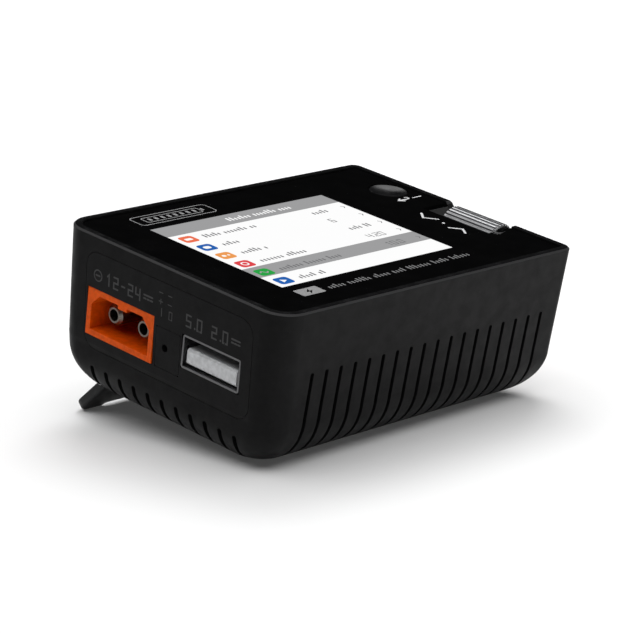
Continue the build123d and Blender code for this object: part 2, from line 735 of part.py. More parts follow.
with BuildPart() as lcd_glass:
    block(glass_x, glass_y, (glass_low, frame_top))
    pane = [(low + 0.03, high - 0.03) for low, high in (screen_x, screen_y)]
    block(*pane, (frame_top - 0.1, pane_top))
keep("lcd_glass", lcd_glass)

with BuildPart() as lcd_backlight:
    block(backlight_x, glass_y, (backlight_low, glass_low - 0.01))
    chamfer(lcd_backlight.faces().sort_by(Axis.Z)[0].edges(), 0.3)
keep("lcd_backlight", lcd_backlight)

# ---- Control board, its parts and the wheel ----
with BuildPart() as control_board:
    with BuildSketch(Plane.XY.offset(control_top - control_t)):
        with Locations((sum(control_x) / 2, sum(control_y) / 2)):
            RectangleRounded(control_x[1] - control_x[0], control_y[1] - control_y[0], 0.8)
        with Locations(*control_screw_xy):
            Circle(screw_r, mode=Mode.SUBTRACT)
    extrude(amount=control_t)
keep("control_board", control_board)

control_low = control_top - control_t
with BuildPart() as control_screws:
    for x, y in control_screw_xy:
        post(x, y, (control_low - 1.1, control_low - 0.01), 1.4)
        post(x, y, (control_low - 0.1, frame_low), screw_r - 0.2)
        block((x - 0.9, x + 0.9), (y - 0.2, y + 0.2), (control_low - 1.2, control_low - 0.6), Mode.SUBTRACT)
keep("control_screws", control_screws)

header_x, header_y = (22.6, 27.2), (-22.0, -20.0)
header_pins, header_pitch = 3, 1.27
with BuildPart() as board_header:
    block(header_x, header_y, (board_top + 0.02, board_top + 2.2))
    block(header_x, header_y, (control_low - 2.2, control_low - 0.02))
    for pin in range(header_pins):
        x = sum(header_x) / 2 + (pin - 1) * header_pitch
        block((x - 0.2, x + 0.2), (-21.2, -20.8), (board_top + 2.0, control_low - 2.0))
keep("board_header", board_header)

with BuildPart() as lcd_ribbon:
    with BuildSketch(Plane.XZ.offset(-ribbon_y[1])):
        with BuildLine():
            FilletPolyline((18.9, 26.34), (21.6, 26.34), (21.6, 20.9), (24.0, 20.9), radius=0.7)
        trace(line_width=0.14)
    extrude(amount=ribbon_y[1] - ribbon_y[0])
keep("lcd_ribbon", lcd_ribbon)

with BuildPart() as ribbon_socket:
    block((22.9, 25.9), (ribbon_y[0] - 0.9, ribbon_y[1] + 0.9), (control_top + 0.02, control_top + 1.4))
    slot_y = (ribbon_y[0] - 0.1, ribbon_y[1] + 0.1)
    block((22, 24.3), slot_y, (control_top + 0.55, control_top + 0.85), Mode.SUBTRACT)
keep("ribbon_socket", ribbon_socket)


def press_switch(x, y, size, top, bore_r):
    """A board-mounted press switch with an open bore for its plunger."""
    with BuildPart() as switch:
        block((x - size / 2, x + size / 2), (y - size / 2, y + size / 2), (control_top + 0.02, top))
        chamfer(switch.edges().filter_by(Axis.Z), size * 0.08)
        post(x, y, (control_top + 0.35, top + 1), bore_r, Mode.SUBTRACT)
    return switch


exit_switch = press_switch(button_x, button_y, switch_size, switch_top, 1.75)
keep("exit_switch", exit_switch)

with BuildPart() as exit_plunger:
    post(button_x, button_y, (control_top + 0.95, plunger_top), 1.65)
keep("exit_plunger", exit_plunger)

dish_r = (button_r**2 + dish_depth**2) / (2 * dish_depth)
with BuildPart() as exit_button:
    post(button_x, button_y, (frame_low - 0.9, button_top), button_r)
    fillet(exit_button.faces().sort_by(Axis.Z)[-1].edges(), 0.18)
    post(button_x, button_y, (frame_low - 0.9, frame_low - 0.15), button_r + 0.7)
    block((button_flat_x, 40), (0, 30), (20, frame_low), Mode.SUBTRACT)
    post(button_x, button_y, (plunger_top + 0.02, frame_low - 0.8), 1.4)
    with Locations((button_x, button_y, button_top - dish_depth + dish_r + 0.03)):
        Sphere(dish_r, mode=Mode.SUBTRACT)
keep("exit_button", exit_button)

with BuildPart() as scroll_wheel:
    rod_y(wheel_x, wheel_y, wheel_z, wheel_r)
    chamfer(scroll_wheel.edges().filter_by(GeomType.CIRCLE), wheel_chamfer)
    with BuildSketch(Plane.XZ.offset(-wheel_y[1])):
        with Locations((wheel_x, wheel_z)):
            Circle(axle_r + 0.01)
            with PolarLocations(wheel_r, wheel_grooves):
                Circle(groove_r)
    extrude(amount=wheel_y[1] - wheel_y[0], mode=Mode.SUBTRACT)
keep("scroll_wheel", scroll_wheel)

with BuildPart() as wheel_axle:
    rod_y(wheel_x, (encoder_y[0] + 0.8, cheek_back[1] - 0.05), wheel_z, axle_r)
keep("wheel_axle", wheel_axle)

arm_y = (-9.4, -5.4)
with BuildPart() as wheel_cradle:
    block((26.2, 32.2), (cheek_front[0], cheek_back[1]), (cradle_low, cradle_low + cradle_t))
    for cheek in (cheek_front, cheek_back):
        block((28.9, 32.2), cheek, (cradle_low, wheel_z))
        rod_y(wheel_x, cheek, wheel_z, cheek_boss_r)
    block((26.2, 26.9), arm_y, (cradle_low, 22.8))
    block((23.6, 26.9), arm_y, (22.05, 22.8))
    rod_y(wheel_x, (-20, 5), wheel_z, axle_r + axle_clearance, Mode.SUBTRACT)
keep("wheel_cradle", wheel_cradle)

with BuildPart() as wheel_encoder:
    block((29.0, 32.35), encoder_y, (cradle_low, encoder_top))
    rod_y(wheel_x, (encoder_y[0] + 0.7, 0), wheel_z, axle_r + axle_clearance, Mode.SUBTRACT)
keep("wheel_encoder", wheel_encoder)

wheel_switch = press_switch(24.3, -7.4, 3.4, 21.4, 1.0)
keep("wheel_switch", wheel_switch)

with BuildPart() as wheel_plunger:
    post(24.3, -7.4, (control_top + 0.95, 22.03), 0.9)
keep("wheel_plunger", wheel_plunger)

# ---- Fold-out leg, shown open ----
hinge_to_foot = Axis((0, hinge_y, hinge_z), (0, leg_y, leg_z))
leg_plane = Plane(origin=(0, hinge_y, hinge_z), x_dir=(1, 0, 0), z_dir=(0, out_y, out_z))
with BuildPart() as stand_leg:
    # the sketch's own Y runs from the hinge to the foot
    with BuildSketch(leg_plane.offset(-leg_t / 2)) as flap:
        with Locations((0, leg_length / 2)):
            Rectangle(2 * leg_half_w, leg_length)
        fillet(flap.vertices().group_by(hinge_to_foot)[-1], 2.0)
        with Locations((0, leg_length)):
            SlotOverall(2 * (leg_half_w - leg_lobe_w), 2 * leg_arch, mode=Mode.SUBTRACT)
    extrude(amount=leg_t)
    fillet(stand_leg.edges().filter_by(Axis.X).group_by(hinge_to_foot)[-1], tip_r)
    rod_x((-leg_half_w, leg_half_w), hinge_y, hinge_z, barrel_r)
    rod_x((-leg_half_w - 1, leg_half_w + 1), hinge_y, hinge_z, hinge_pin_r + hinge_clearance, Mode.SUBTRACT)
keep("stand_leg", stand_leg)

with BuildPart() as hinge_pin:
    rod_x((-recess_half_w - 1.4, recess_half_w + 1.4), hinge_y, hinge_z, hinge_pin_r)
keep("hinge_pin", hinge_pin)

with BuildPart() as rubber_feet:
    with BuildSketch(Plane.XY.offset(-foot_proud)):
        with Locations(*foot_xy):
            RectangleRounded(foot_w, foot_d, 0.95)
    extrude(amount=foot_proud + foot_sink - 0.01)
keep("rubber_feet", rubber_feet)

# ---- Stand every piece on the table and write it ----
tipped = Location((0, 0, 0), (tilt, 0, 0))
level = Compound([piece.moved(tipped) for piece in pieces.values()]).bounding_box()
middle_x, middle_y = (level.min.X + level.max.X) / 2, (level.min.Y + level.max.Y) / 2
standing = Location((-middle_x, -middle_y, -table_level)) * tipped
for name, piece in pieces.items():
    placed = piece.moved(standing)
    placed.label = name
    export_step(placed, f"parts/{name}.step")
print("standing frame", standing)
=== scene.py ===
import json
import math
import random

import bmesh
import bpy
from mathutils import Matrix, Vector


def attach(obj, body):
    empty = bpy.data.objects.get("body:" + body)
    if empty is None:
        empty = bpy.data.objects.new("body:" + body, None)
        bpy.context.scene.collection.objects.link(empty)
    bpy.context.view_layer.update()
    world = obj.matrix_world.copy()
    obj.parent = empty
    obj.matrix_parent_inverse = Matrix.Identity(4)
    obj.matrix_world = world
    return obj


MM = 0.001

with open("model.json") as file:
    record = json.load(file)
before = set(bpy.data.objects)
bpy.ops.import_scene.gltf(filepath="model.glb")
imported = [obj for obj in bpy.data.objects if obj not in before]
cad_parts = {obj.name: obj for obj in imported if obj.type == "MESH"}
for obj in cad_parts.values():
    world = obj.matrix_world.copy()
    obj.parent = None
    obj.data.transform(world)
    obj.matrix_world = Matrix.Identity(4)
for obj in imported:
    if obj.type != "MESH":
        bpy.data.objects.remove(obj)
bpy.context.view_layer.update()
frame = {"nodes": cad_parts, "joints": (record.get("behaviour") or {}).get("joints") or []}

# ---- The device's own axes ----
# The charger stands on its leg, so the case leans. Every size below is in millimetres along the
# case's own axes: x to the right, y to the back, z up from the underside.
FAN_CENTRE = Vector((0.0, -5.2, 8.0))
joints = {joint["name"]: joint for joint in frame["joints"]}
UP = Vector(joints["fan_spin"]["axis"]).normalized()
BACK = Vector(joints["wheel_spin"]["axis"]).normalized()
RIGHT = BACK.cross(UP)
AXES = Matrix((RIGHT, BACK, UP)).transposed()
ORIGIN = Vector(joints["fan_spin"]["pos_m"]) - AXES @ (FAN_CENTRE * MM)
LEAN = AXES.to_euler()


def placed(x, y, z):
    """A point of the device, in metres in the frame."""
    return ORIGIN + AXES @ (Vector((x, y, z)) * MM)


def on_device(point):
    """The device coordinates, in millimetres, of a point of the frame."""
    return (AXES.transposed() @ (Vector(point) - ORIGIN)) / MM


def node_span(node, keep=lambda point: True):
    """Lowest and highest device coordinates of those points of a CAD node that are kept."""
    points = [on_device(vertex.co) for vertex in frame["nodes"][node].data.vertices]
    points = [point for point in points if keep(point)]
    return [(min(p[axis] for p in points), max(p[axis] for p in points)) for axis in range(3)]


# ---- Shader building ----
class Shader:
    """A material built from procedural nodes, with its patterns sized in device millimetres."""

    def __init__(self, name, colour, roughness, metallic=0.0, specular=0.5):
        self.material = bpy.data.materials.new(name)
        self.material.use_nodes = True
        self.nodes = self.material.node_tree.nodes
        self.links = self.material.node_tree.links
        self.surface = self.nodes["Principled BSDF"]
        self.colour = colour
        self.normal = None
        self.give("Base Color", (*colour, 1.0))
        self.give("Roughness", roughness)
        self.give("Metallic", metallic)
        self.give("Specular IOR Level", specular)
        coordinates = self.nodes.new("ShaderNodeTexCoord")
        device = self.nodes.new("ShaderNodeMapping")
        device.vector_type = "TEXTURE"
        device.inputs["Location"].default_value = ORIGIN
        device.inputs["Rotation"].default_value = LEAN
        device.inputs["Scale"].default_value = (MM, MM, MM)
        self.links.new(coordinates.outputs["Object"], device.inputs["Vector"])
        self.place = device.outputs["Vector"]

    def give(self, socket, value):
        """Sets a socket of the surface, or links it when the value is itself a socket."""
        self.feed(self.surface.inputs[socket], value)

    def feed(self, target, value):
        """Sets a socket of any node, or links it when the value is itself a socket."""
        if isinstance(value, bpy.types.NodeSocket):
            self.links.new(value, target)
        else:
            target.default_value = value

    def stretched(self, scale):
        """The device coordinates multiplied along each axis, to draw a pattern out or squeeze it."""
        mapping = self.nodes.new("ShaderNodeMapping")
        mapping.inputs["Scale"].default_value = scale
        self.links.new(self.place, mapping.inputs["Vector"])
        return mapping.outputs["Vector"]

    def noise(self, size, detail, stretch=None):
        """Soft random blotches about that many millimetres across."""
        texture = self.nodes.new("ShaderNodeTexNoise")
        self.feed(texture.inputs["Vector"], self.stretched(stretch) if stretch else self.place)
        texture.inputs["Scale"].default_value = 1.0 / size
        texture.inputs["Detail"].default_value = detail
        return texture.outputs["Fac"]

    def cells(self, size):
        """Distance to scattered points about that many millimetres apart."""
        texture = self.nodes.new("ShaderNodeTexVoronoi")
        self.feed(texture.inputs["Vector"], self.place)
        texture.inputs["Scale"].default_value = 1.0 / size
        return texture.outputs["Distance"]

    def maths(self, operation, first, second=0.0):
        """The result of a sum, product or other operation on numbers or sockets."""
        node = self.nodes.new("ShaderNodeMath")
        node.operation = operation
        self.feed(node.inputs[0], first)
        self.feed(node.inputs[1], second)
        return node.outputs["Value"]

    def axis(self, index):
        """One device coordinate in millimetres."""
        node = self.nodes.new("ShaderNodeSeparateXYZ")
        self.links.new(self.place, node.inputs["Vector"])
        return node.outputs[index]

    def waves(self, index, pitch):
        """A sine from -1 to 1 along one device axis."""
        return self.maths("SINE", self.maths("MULTIPLY", self.axis(index), 2 * math.pi / pitch))

    def facing(self, direction):
        """How squarely a face looks along one direction: 1 along it, 0 across it."""
        geometry = self.nodes.new("ShaderNodeNewGeometry")
        product = self.nodes.new("ShaderNodeVectorMath")
        product.operation = "DOT_PRODUCT"
        self.links.new(geometry.outputs["True Normal"], product.inputs[0])
        product.inputs[1].default_value = direction
        return product.outputs["Value"]

    def spread(self, value, low, high, start=0.35, end=0.65):
        """Maps the part of a pattern between start and end to low to high."""
        node = self.nodes.new("ShaderNodeMapRange")
        self.feed(node.inputs["Value"], value)
        for socket, number in (("From Min", start), ("From Max", end), ("To Min", low), ("To Max", high)):
            node.inputs[socket].default_value = number
        return node.outputs["Result"]

    def mix(self, factor, first, second):
        """A colour between two others."""
        node = self.nodes.new("ShaderNodeMix")
        node.data_type = "RGBA"
        factor_socket, first_socket, second_socket = node.inputs[0], node.inputs[6], node.inputs[7]
        self.feed(factor_socket, factor)
        self.feed(first_socket, first if isinstance(first, bpy.types.NodeSocket) else (*first, 1.0))
        self.feed(second_socket, second if isinstance(second, bpy.types.NodeSocket) else (*second, 1.0))
        return node.outputs[2]

    def mottle(self, size, amount):
        """Lets the colour drift by that share, up and down."""
        low = tuple(c * (1 - amount) for c in self.colour)
        high = tuple(c * (1 + amount) for c in self.colour)
        self.give("Base Color", self.mix(self.spread(self.noise(size, 3.0), 0, 1), low, high))

    def polish(self, size, low, high, stretch=None):
        """Lets the roughness drift between two values."""
        self.give("Roughness", self.spread(self.noise(size, 3.0, stretch), low, high))

    def bump(self, height, depth):
        """Adds relief of that many millimetres to the relief so far."""
        node = self.nodes.new("ShaderNodeBump")
        node.inputs["Distance"].default_value = depth * MM
        self.feed(node.inputs["Height"], height)
        if self.normal:
            self.links.new(self.normal, node.inputs["Normal"])
        self.normal = node.outputs["Normal"]
        self.give("Normal", self.normal)

    def soften(self, radius):
        """Rounds the edges in the shading, as a moulded or tumbled edge is rounded."""
        node = self.nodes.new("ShaderNodeBevel")
        node.samples = 4
        node.inputs["Radius"].default_value = radius * MM
        self.normal = node.outputs["Normal"]
        self.give("Normal", self.normal)


def moulded(name, colour, roughness, grain, depth, specular=0.5, edge=0.0):
    """Moulded plastic: spark-eroded grain, a little drift in colour and in polish."""
    shader = Shader(name, colour, roughness, specular=specular)
    if edge:
        shader.soften(edge)
    shader.mottle(0.9, 0.12)
    shader.polish(2.5, roughness - 0.06, roughness + 0.06)
    shader.bump(shader.noise(grain, 1.0), depth)
    return shader


def metal(name, colour, roughness, stretch, depth, edge=0.05):
    """Bare or plated metal with fine drawn or turned lines along one direction."""
    shader = Shader(name, colour, roughness, metallic=1.0)
    shader.soften(edge)
    shader.mottle(1.6, 0.06)
    shader.polish(0.5, roughness - 0.08, roughness + 0.1, stretch)
    shader.bump(shader.noise(0.12, 2.0, stretch), depth)
    return shader


# ---- Materials ----
CASE_BLACK = (0.0055, 0.0055, 0.0058)
# painted highlight: a lighter grey for the rim's chamfer, standing in for the light it catches
CHAMFER_HIGHLIGHT_GREY = (0.034, 0.034, 0.035)
RIM_TOP = node_span("lower_case")[2][1]
GRAIN_END, LIP_START = RIM_TOP - 0.5, RIM_TOP - 0.4  # the grain fades out between these heights
LIP_POLISH = 0.38


def case_plastic():
    """Grained walls under a smooth rim, whose up-tilted chamfer is coloured lighter as a painted highlight.
    """
    shader = Shader("case_plastic", CASE_BLACK, 0.5, specular=0.11)
    rim = shader.spread(shader.axis(2), 0, 1, GRAIN_END, LIP_START)
    upward = shader.facing(UP)
    tilted, not_flat = shader.spread(upward, 0, 1, 0.45, 0.55), shader.spread(upward, 1, 0, 0.8, 0.9)
    # painted highlight mask: faces near the rim top that tilt up, between flat and upright
    chamfer_highlight = shader.maths("MULTIPLY", rim, shader.maths("MULTIPLY", tilted, not_flat))
    smooth = shader.maths("MULTIPLY", rim, shader.spread(upward, 0, 1, 0.9, 0.95))
    drift = shader.spread(shader.noise(0.9, 3.0), 0, 1)
    darker, lighter = (tuple(c * share for c in CASE_BLACK) for share in (0.88, 1.12))
    black = shader.mix(drift, darker, lighter)
    shader.give("Base Color", shader.mix(chamfer_highlight, black, CHAMFER_HIGHLIGHT_GREY))
    grained = shader.spread(shader.noise(2.5, 3.0), 0.44, 0.56)
    shader.give("Roughness", shader.maths("SUBTRACT", grained, shader.maths("MULTIPLY", smooth, LIP_POLISH)))
    rough_part = shader.maths("SUBTRACT", 1.0, smooth)
    shader.bump(shader.maths("MULTIPLY", shader.noise(0.13, 1.0), rough_part), 0.004)
    shader.bump(shader.maths("MULTIPLY", shader.noise(6.0, 1.0), rough_part), 0.01)
    return shader.material


def cover_plastic():
    return moulded("cover_plastic", CASE_BLACK, 0.48, 0.13, 0.003, specular=0.12, edge=0.03).material


def leg_plastic():
    return moulded("leg_plastic", (0.009, 0.009, 0.0095), 0.45, 0.2, 0.003, specular=0.2, edge=0.06).material


def inner_plastic():
    return moulded("inner_plastic", (0.012, 0.012, 0.012), 0.5, 0.2, 0.004, specular=0.3, edge=0.08).material


def gloss_panel():
    shader = Shader("gloss_panel", (0.0012, 0.0012, 0.0013), 0.06, specular=0.4)
    shader.give("Roughness", shader.spread(shader.noise(7.0, 4.0), 0.04, 0.08))
    shader.mottle(3.0, 0.2)
    shader.bump(shader.noise(0.35, 2.0, (1.0, 6.0, 1.0)), 0.0004)
    return shader.material


def display_glass():
    shader = Shader("display_glass", (0.02, 0.022, 0.025), 0.08)
    shader.mottle(2.0, 0.15)
    shader.polish(3.0, 0.05, 0.12)
    return shader.material


def backlight_plastic():
    return moulded("backlight_plastic", (0.78, 0.78, 0.76), 0.4, 0.3, 0.003, edge=0.08).material


def polyimide():
    """Amber film with the copper traces showing through it."""
    film, over_trace = (0.30, 0.12, 0.02), (0.46, 0.22, 0.05)
    shader = Shader("polyimide", film, 0.35)
    traces = shader.spread(shader.waves(1, 0.6), 0, 1, -0.1, 0.1)
    shader.give("Base Color", shader.mix(traces, film, over_trace))
    shader.bump(traces, 0.01)
    return shader.material


def button_plastic():
    return moulded("button_plastic", (0.005, 0.005, 0.0055), 0.2, 0.3, 0.001, specular=0.07).material


def wheel_metal():
    return metal("wheel_metal", (0.2, 0.2, 0.205), 0.34, (6.0, 0.6, 6.0), 0.003, 0.03).material


def bright_steel():
    return metal("bright_steel", (0.52, 0.52, 0.53), 0.3, (0.5, 5.0, 5.0), 0.002).material


def black_screw():
    return metal("black_screw", (0.06, 0.06, 0.065), 0.36, None, 0.002, 0.06).material


def solder_mask():
    """Green mask over copper: raised tracks, and small plated holes."""
    bare_mask, over_track, plating = (0.003, 0.016, 0.007), (0.006, 0.032, 0.012), (0.55, 0.42, 0.2)
    shader = Shader("solder_mask", bare_mask, 0.35)
    track_x = shader.spread(shader.waves(0, 1.1), 0, 1, 0.5, 0.6)
    track_y = shader.spread(shader.waves(1, 1.3), 0, 1, 0.5, 0.6)
    region = shader.spread(shader.noise(5.0, 0.0), 0, 1, 0.49, 0.51)
    tracks = shader.maths("ADD", shader.maths("MULTIPLY", track_x, region),
                          shader.maths("MULTIPLY", track_y, shader.maths("SUBTRACT", 1.0, region)))
    holes = shader.spread(shader.cells(1.9), 1, 0, 0.08, 0.1)
    board = shader.mix(tracks, bare_mask, over_track)
    shader.give("Base Color", shader.mix(holes, board, plating))
    shader.give("Metallic", holes)
    shader.bump(tracks, 0.02)
    return shader.material


def chip_epoxy():
    return moulded("chip_epoxy", (0.012, 0.012, 0.012), 0.6, 0.12, 0.006, specular=0.3, edge=0.05).material


def orange_nylon():
    shader = moulded("orange_nylon", (0.66, 0.079, 0.001), 0.45, 0.22, 0.003, specular=0.1, edge=0.06)
    shader.give("Subsurface Weight", 0.05)
    shader.give("Subsurface Radius", (0.9, 0.25, 0.08))
    shader.give("Subsurface Scale", 0.0006)
    return shader.material


def white_nylon():
    return moulded("white_nylon", (0.72, 0.71, 0.67), 0.45, 0.25, 0.003, edge=0.08).material


def tongue_plastic():
    return moulded("tongue_plastic", (0.56, 0.57, 0.58), 0.5, 0.25, 0.002, specular=0.3, edge=0.08).material


def pin_plating():
    return metal("pin_plating", (0.27, 0.25, 0.22), 0.34, (0.4, 4.0, 4.0), 0.0015).material


def shell_nickel():
    return metal("shell_nickel", (0.22, 0.22, 0.225), 0.35, (0.6, 4.0, 4.0), 0.002).material


def contact_gold():
    return metal("contact_gold", (0.78, 0.56, 0.22), 0.25, (0.4, 4.0, 4.0), 0.0015).material


def ferrite():
    return moulded("ferrite", (0.05, 0.05, 0.052), 0.7, 0.35, 0.02, edge=0.15).material


def silicone_pad():
    return moulded("silicone_pad", (0.2, 0.26, 0.34), 0.6, 0.5, 0.02).material


def anodised():
    return metal("anodised", (0.02, 0.02, 0.022), 0.42, (0.4, 6.0, 6.0), 0.004).material


def can_sleeve():
    """A dark sleeve with the can's bare top."""
    sleeve, aluminium = (0.012, 0.012, 0.016), (0.5, 0.5, 0.5)
    shader = Shader("can_sleeve", sleeve, 0.35)
    top = node_span("capacitors")[2][1]
    bare = shader.spread(shader.axis(2), 0, 1, top - 0.06, top - 0.04)
    shader.give("Base Color", shader.mix(bare, sleeve, aluminium))
    shader.give("Metallic", bare)
    shader.polish(0.6, 0.28, 0.42)
    return shader.material


def soft_rubber():
    return moulded("soft_rubber", (0.012, 0.012, 0.012), 0.75, 0.14, 0.01, specular=0.25, edge=0.1).material


def fan_plastic():
    return moulded("fan_plastic", (0.009, 0.009, 0.0095), 0.42, 0.4, 0.003, specular=0.35, edge=0.08).material


NODE_LOOKS = {
    case_plastic: ("lower_case",),
    cover_plastic: ("left_port_plate", "right_port_plate", "service_cover"),
    leg_plastic: ("stand_leg",),
    inner_plastic: ("top_frame", "wheel_cradle", "exit_plunger", "wheel_plunger", "exit_switch",
                    "wheel_switch", "buzzer", "ribbon_socket", "board_header"),
    gloss_panel: ("front_lens",),
    display_glass: ("lcd_glass",),
    backlight_plastic: ("lcd_backlight",),
    polyimide: ("lcd_ribbon",),
    button_plastic: ("exit_button",),
    wheel_metal: ("scroll_wheel",),
    bright_steel: ("wheel_axle", "hinge_pin", "wheel_encoder"),
    black_screw: ("main_board_screws", "control_screws", "fan_screws"),
    solder_mask: ("main_board", "control_board"),
    chip_epoxy: ("controller_chip", "power_transistors"),
    orange_nylon: ("inlet_housing", "outlet_housing"),
    white_nylon: ("balance_housing",),
    tongue_plastic: ("usb_insert",),
    pin_plating: ("inlet_pins", "outlet_sockets"),
    shell_nickel: ("usb_shell",),
    contact_gold: ("usb_contacts", "balance_pins"),
    ferrite: ("power_inductor",),
    silicone_pad: ("thermal_pad",),
    anodised: ("heat_sink",),
    can_sleeve: ("capacitors",),
    soft_rubber: ("rubber_feet",),
    fan_plastic: ("fan_frame", "fan_rotor"),
}


def dress_nodes():
    """Gives every CAD node its material."""
    for look, names in NODE_LOOKS.items():
        material = look()
        for name in names:
            mesh = frame["nodes"][name].data
            mesh.materials.clear()
            mesh.materials.append(material)


dress_nodes()


def scene_object(name, data):
    """A new object, put in the scene."""
    made = bpy.data.objects.new(name, data)
    bpy.context.scene.collection.objects.link(made)
    return made


# ---- Flat artwork ----
ARC_STEP = math.radians(15)
DIGIT_ASPECT = 0.52


def arc(centre, radius, start, end):
    """Points of an arc between two angles in radians."""
    count = max(2, math.ceil(abs(end - start) / ARC_STEP))
    angles = (start + (end - start) * i / count for i in range(count + 1))
    return [(centre[0] + radius * math.cos(a), centre[1] + radius * math.sin(a)) for a in angles]


def circle(centre, radius):
    return arc(centre, radius, 0, 2 * math.pi)[:-1]


def pill(centre, size, radius):
    """A rectangle with rounded corners."""
    half_w, half_h = size[0] / 2 - radius, size[1] / 2 - radius
    corners = ((half_w, half_h), (-half_w, half_h), (-half_w, -half_h), (half_w, -half_h))
    points = []
    for quarter, (dx, dy) in enumerate(corners):
        turn = quarter * math.pi / 2
        points += arc((centre[0] + dx, centre[1] + dy), radius, turn, turn + math.pi / 2)
    return points


def band(points, width):
    """The outline of a line of that width, with round ends and mitred corners."""
    path = [Vector(p) for p in points]
    steps = [(b - a).normalized() for a, b in zip(path, path[1:])]
    half = width / 2
    left, right = [], []
    for before, after, point in zip(steps, steps[1:], path[1:-1]):
        turn = (before + after).normalized()
        side = Vector((-turn.y, turn.x)) * half / max(0.3, turn.dot(before))
        left.append(point + side)
        right.append(point - side)
    first, last = math.atan2(*steps[0].yx), math.atan2(*steps[-1].yx)
    end_cap = arc(path[-1], half, last + math.pi / 2, last - math.pi / 2)
    start_cap = arc(path[0], half, first - math.pi / 2, first - 3 * math.pi / 2)
    return [*left, *end_cap, *reversed(right), *start_cap]


DIGIT_PATHS = {
    "0": [[(0.5, 0), (1, 0), (1, 1), (0, 1), (0, 0), (0.44, 0)]],
    "1": [[(0.2, 0.8), (0.6, 1), (0.6, 0)]],
    "2": [[(0, 1), (1, 1), (1, 0.5), (0, 0.5), (0, 0), (1, 0)]],
    "4": [[(0, 1), (0, 0.42), (0.78, 0.42)], [(1, 1), (1, 0)]],
    "5": [[(1, 1), (0, 1), (0, 0.5), (1, 0.5), (1, 0), (0, 0)]],
    "6": [[(1, 1), (0, 1), (0, 0), (1, 0), (1, 0.5), (0.22, 0.5)]],
    "-": [[(0.15, 0.5), (0.85, 0.5)]],
}


class Artwork:
    """Thin shapes laid on a flat surface, gathered into one closed mesh."""

    def __init__(self, name, origin, across, upward, thickness=0.012):
        self.name = name
        self.thickness = thickness
        self.curve = bpy.data.curves.new(name, "CURVE")
        self.curve.dimensions = "2D"
        self.curve.fill_mode = "BOTH"
        self.curve.extrude = thickness / 2
        outward = across.cross(upward)
        turn = Matrix((across, upward, outward)).transposed().to_4x4()
        lift = Matrix.Translation((0, 0, thickness / 2))
        self.matrix = Matrix.Translation(origin) @ turn @ Matrix.Scale(MM, 4) @ lift

    def add(self, *outlines):
        """Adds closed outlines. One inside another cuts a hole in it."""
        for outline in outlines:
            spline = self.curve.splines.new("POLY")
            spline.points.add(len(outline) - 1)
            for target, point in zip(spline.points, outline):
                target.co = (point[0], point[1], 0, 1)
            spline.use_cyclic_u = True

    def line(self, points, width):
        """Adds a line through those points."""
        self.add(band(points, width))

    def digits(self, text, corner, height, width):
        """Draws numbers from their lower left corner, and returns where they end."""
        x, y = corner
        wide = height * DIGIT_ASPECT
        for character in text:
            if character == ".":
                self.add(circle((x + width * 0.6, y + width * 0.5), width * 0.62))
                x += width * 2.4
                continue
            for path in DIGIT_PATHS[character]:
                self.line([(x + wide * px, y + height * py) for px, py in path], width)
            x += wide + width * 2.6
        return x

    def words(self, start, y, length, height, seed):
        """A line of plain upright ticks in groups, in place of words."""
        rng = random.Random(seed)
        x, left_in_word = start, rng.randint(4, 7)
        pitch, tick = height * 0.5, height * 0.24
        while x < start + length - tick:
            tall = height * rng.choice((0.62, 0.62, 0.7, 1.0))
            self.add(pill((x + tick / 2, y + tall / 2), (tick, tall), tick * 0.49))
            x += pitch
            left_in_word -= 1
            if left_in_word == 0:
                x += pitch * 0.9
                left_in_word = rng.randint(4, 7)

    def build(self, material, body, slot):
        """Turns the shapes into a mesh that rides on a body."""
        source = scene_object(self.name + "_outline", self.curve)
        evaluated = source.evaluated_get(bpy.context.evaluated_depsgraph_get())
        mesh = bpy.data.meshes.new_from_object(evaluated)
        bpy.data.objects.remove(source)
        mesh.transform(self.matrix)
        mesh.name = self.name
        mesh.materials.clear()
        mesh.materials.append(material)
        shape = bmesh.new()
        shape.from_mesh(mesh)
        bmesh.ops.remove_doubles(shape, verts=shape.verts, dist=self.thickness * MM * 0.1)
        bmesh.ops.recalc_face_normals(shape, faces=shape.faces)
        shape.to_mesh(mesh)
        shape.free()
        piece = scene_object(self.name, mesh)
        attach(piece, body)


def ink(name, colour):
    """Screen-printed ink, a little uneven in cover."""
    shader = Shader(name, colour, 0.4)
    shader.mottle(0.35, 0.14)
    shader.bump(shader.noise(0.08, 1.0), 0.001)
    return shader.material


white_ink = ink("white_ink", (0.56, 0.56, 0.57))
soft_ink = ink("soft_ink", (0.17, 0.17, 0.172))
faint_ink = ink("faint_ink", (0.085, 0.085, 0.087))
wall_ink = ink("wall_ink", (0.024, 0.024, 0.025))

# ---- Panel artwork ----
panel_top = node_span("front_lens")[2][1]
PRINT_LIFT = 0.002


def panel_artwork(name):
    """Artwork on the lens, drawn in device coordinates."""
    return Artwork(name, placed(0, 0, panel_top + PRINT_LIFT), RIGHT, BACK)


def emblem():
    """A battery outline with its charge bars, in a rounded frame, at the back left of the panel."""
    art = panel_artwork("panel_emblem")
    centre, size, stroke = (-15.0, 20.0), (17.0, 4.1), 0.2
    inner = (size[0] - 2 * stroke, size[1] - 2 * stroke)
    art.add(pill(centre, size, 0.9), pill(centre, inner, 0.9 - stroke))
    cell, cell_size = (centre[0] - 0.3, centre[1]), (12.6, 2.3)
    cell_inner = (cell_size[0] - 2 * stroke, cell_size[1] - 2 * stroke)
    art.add(pill(cell, cell_size, 0.5), pill(cell, cell_inner, 0.5 - stroke * 0.8))
    art.add(pill((cell[0] + cell_size[0] / 2 + 0.45, cell[1]), (0.4, 1.1), 0.15))
    bars, pitch = 8, 1.42
    for bar in range(bars):
        x = cell[0] + (bar - (bars - 1) / 2) * pitch
        art.add(pill((x, cell[1]), (0.6, 1.1), 0.18))
    art.build(soft_ink, "case", "white_plastic")


